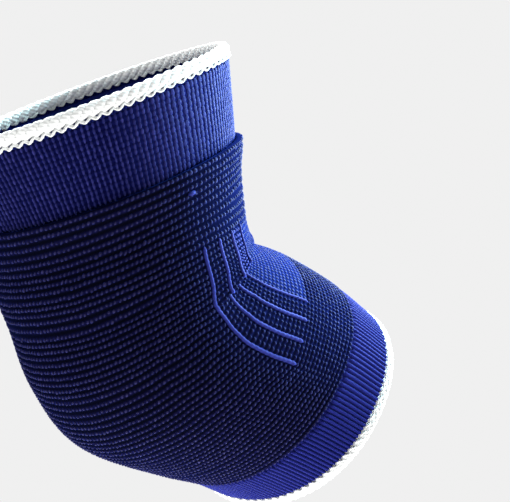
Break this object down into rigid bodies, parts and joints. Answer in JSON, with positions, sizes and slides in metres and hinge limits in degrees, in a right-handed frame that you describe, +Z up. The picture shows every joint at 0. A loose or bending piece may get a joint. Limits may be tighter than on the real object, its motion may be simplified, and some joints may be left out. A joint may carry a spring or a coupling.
{
  "type": "elbow brace",
  "caption": "Knitted elastic elbow support sleeve, bent at the crook as it is worn, with ribbed cuffs and white rolled edges.",
  "frame": {"origin": "middle of the bend, inside the sleeve, where the wearer's elbow holds it up", "axes": "+Z up, the bend in the XZ plane, the upper arm leaning back towards -X and the forearm running out and down towards +X"},
  "size_m": [0.1637, 0.0932, 0.1576],
  "materials": {
    "white_hem": "matte overlocked yarn",
    "cuff_knit": "matte ribbed elastic knit",
    "body_knit": "matte black knit with blue stitches",
    "panel_knit": "matte fine plain knit"
  },
  "bodies": {
    "root": {"upper_hem": "white_hem", "upper_cuff": "cuff_knit", "sleeve_body": "body_knit", "crook_panel": "panel_knit", "lower_cuff": "cuff_knit", "lower_hem": "white_hem"}
  },
  "joints": []
}
